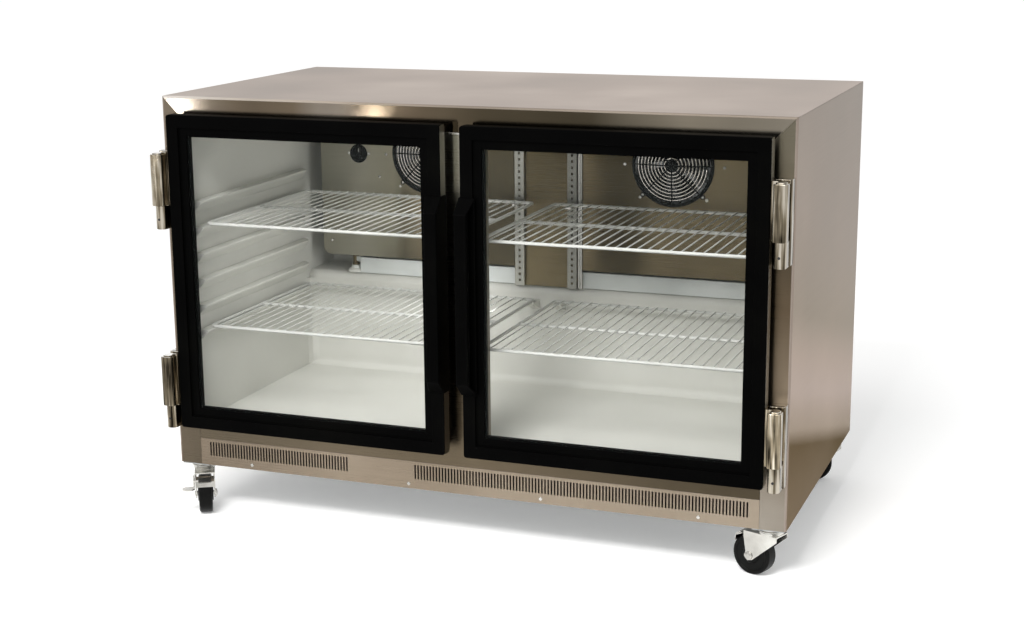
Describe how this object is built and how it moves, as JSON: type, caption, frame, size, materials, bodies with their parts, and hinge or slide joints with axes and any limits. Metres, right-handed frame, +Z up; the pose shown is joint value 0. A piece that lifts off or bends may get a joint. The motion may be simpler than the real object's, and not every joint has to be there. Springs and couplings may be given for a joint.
{
  "type": "undercounter freezer",
  "caption": "Undercounter freezer with glass doors that swing outwards, wire shelves inside and swivel casters below.",
  "frame": {"origin": "on the floor, under the middle of the freezer's outer box", "axes": "+Z up, -Y towards the doors, +X to the right as seen from the front"},
  "size_m": [1.219, 0.72, 0.828],
  "materials": {
    "stainless": "brushed",
    "bright_steel": "brushed",
    "galvanised": "zinc plated",
    "chromed": "satin chrome",
    "black_plastic": "satin moulded",
    "seal": "matte",
    "wheel": "satin",
    "white_plastic": "satin",
    "grey_plastic": "matte",
    "white_wire": "epoxy coated",
    "black_steel": "satin paint",
    "aluminium": "mill",
    "copper": "bare copper",
    "foam": "foamed",
    "pane": "clear"
  },
  "bodies": {
    "cabinet": {"top_panel": "stainless", "left_side_panel": "stainless", "right_side_panel": "stainless", "back_panel": "galvanised", "base_pan": "galvanised", "foam_insulation": "foam", "inner_liner": "white_plastic", "front_frame": "stainless", "grille_panel": "stainless", "left_evaporator_cover": "stainless", "right_evaporator_cover": "stainless", "center_back_panel": "stainless", "left_fan_guard": "black_steel", "right_fan_guard": "black_steel", "left_fan_motor": "black_steel", "right_fan_motor": "black_steel", "evaporator_coil": "aluminium", "drip_tray": "grey_plastic", "thermostat_bezel": "black_plastic", "left_upper_shelf": "white_wire", "right_upper_shelf": "white_wire", "left_lower_shelf": "white_wire", "right_lower_shelf": "white_wire", "compressor": "black_steel", "condenser_coil": "copper", "condenser_fan_motor": "galvanised", "left_upper_hinge_frame_leaf": "chromed", "right_upper_hinge_frame_leaf": "chromed", "left_lower_hinge_frame_leaf": "chromed", "right_lower_hinge_frame_leaf": "chromed"},
    "left_door": {"left_door_bezel": "black_plastic", "left_door_shell": "bright_steel", "left_door_outer_pane": "pane", "left_door_inner_pane": "pane", "left_door_gasket": "seal", "left_door_handle": "black_plastic", "left_upper_hinge_door_leaf": "chromed", "left_lower_hinge_door_leaf": "chromed"},
    "right_door": {"right_door_bezel": "black_plastic", "right_door_shell": "bright_steel", "right_door_outer_pane": "pane", "right_door_inner_pane": "pane", "right_door_gasket": "seal", "right_door_handle": "black_plastic", "right_upper_hinge_door_leaf": "chromed", "right_lower_hinge_door_leaf": "chromed"},
    "left_fan": {"left_fan_blades": "aluminium"},
    "right_fan": {"right_fan_blades": "aluminium"},
    "condenser_fan": {"condenser_fan_blades": "aluminium"},
    "thermostat": {"thermostat_knob": "black_plastic"},
    "front_left_swivel": {"front_left_caster_fork": "galvanised"},
    "front_right_swivel": {"front_right_caster_fork": "galvanised"},
    "rear_left_swivel": {"rear_left_caster_fork": "galvanised"},
    "rear_right_swivel": {"rear_right_caster_fork": "galvanised"},
    "front_left_wheel": {"front_left_caster_wheel": "wheel"},
    "front_right_wheel": {"front_right_caster_wheel": "wheel"},
    "rear_left_wheel": {"rear_left_caster_wheel": "wheel"},
    "rear_right_wheel": {"rear_right_caster_wheel": "wheel"},
    "front_left_brake": {"front_left_brake_lever": "galvanised"},
    "front_right_brake": {"front_right_brake_lever": "galvanised"}
  },
  "joints": [
    {"name": "left_door_swing", "type": "hinge", "parent": "cabinet", "child": "left_door", "pos_m": [-0.5945, -0.331, 0.4], "axis": [0, 0, -1], "range_deg": [0, 120]},
    {"name": "right_door_swing", "type": "hinge", "parent": "cabinet", "child": "right_door", "pos_m": [0.5945, -0.331, 0.4], "axis": [0, 0, 1], "range_deg": [0, 120]},
    {"name": "left_fan_spin", "type": "hinge", "parent": "cabinet", "child": "left_fan", "pos_m": [-0.265, 0.2, 0.667], "axis": [0, -1, 0], "continuous": true},
    {"name": "right_fan_spin", "type": "hinge", "parent": "cabinet", "child": "right_fan", "pos_m": [0.265, 0.2, 0.667], "axis": [0, -1, 0], "continuous": true},
    {"name": "condenser_fan_spin", "type": "hinge", "parent": "cabinet", "child": "condenser_fan", "pos_m": [0.19, 0.29975, 0.1773], "axis": [1, 0, 0], "continuous": true},
    {"name": "thermostat_turn", "type": "hinge", "parent": "cabinet", "child": "thermostat", "pos_m": [-0.4299, 0.193, 0.662], "axis": [0, -1, 0], "range_deg": [0, 270]},
    {"name": "front_left_swivel_turn", "type": "hinge", "parent": "cabinet", "child": "front_left_swivel", "pos_m": [-0.5765, -0.253, 0.08], "axis": [0, 0, 1], "continuous": true},
    {"name": "front_right_swivel_turn", "type": "hinge", "parent": "cabinet", "child": "front_right_swivel", "pos_m": [0.5765, -0.253, 0.08], "axis": [0, 0, 1], "continuous": true},
    {"name": "rear_left_swivel_turn", "type": "hinge", "parent": "cabinet", "child": "rear_left_swivel", "pos_m": [-0.5765, 0.324, 0.08], "axis": [0, 0, 1], "continuous": true},
    {"name": "rear_right_swivel_turn", "type": "hinge", "parent": "cabinet", "child": "rear_right_swivel", "pos_m": [0.5765, 0.324, 0.08], "axis": [0, 0, 1], "continuous": true},
    {"name": "front_left_wheel_spin", "type": "hinge", "parent": "front_left_swivel", "child": "front_left_wheel", "pos_m": [-0.5595, -0.28245, 0.038], "axis": [0.866, 0.5, 0], "continuous": true},
    {"name": "front_right_wheel_spin", "type": "hinge", "parent": "front_right_swivel", "child": "front_right_wheel", "pos_m": [0.54455, -0.24137, 0.038], "axis": [-0.342, -0.9397, 0], "continuous": true},
    {"name": "rear_left_wheel_spin", "type": "hinge", "parent": "rear_left_swivel", "child": "rear_left_wheel", "pos_m": [-0.54302, 0.3181, 0.038], "axis": [0.1736, 0.9848, 0], "continuous": true},
    {"name": "rear_right_wheel_spin", "type": "hinge", "parent": "rear_right_swivel", "child": "rear_right_wheel", "pos_m": [0.54302, 0.3181, 0.038], "axis": [0.1736, -0.9848, 0], "continuous": true},
    {"name": "front_left_brake_press", "type": "hinge", "parent": "front_left_swivel", "child": "front_left_brake", "pos_m": [-0.5695, -0.26512, 0.064], "axis": [0.866, 0.5, 0], "range_deg": [0, 7]},
    {"name": "front_right_brake_press", "type": "hinge", "parent": "front_right_swivel", "child": "front_right_brake", "pos_m": [0.56334, -0.24821, 0.064], "axis": [-0.342, -0.9397, 0], "range_deg": [0, 7]}
  ]
}
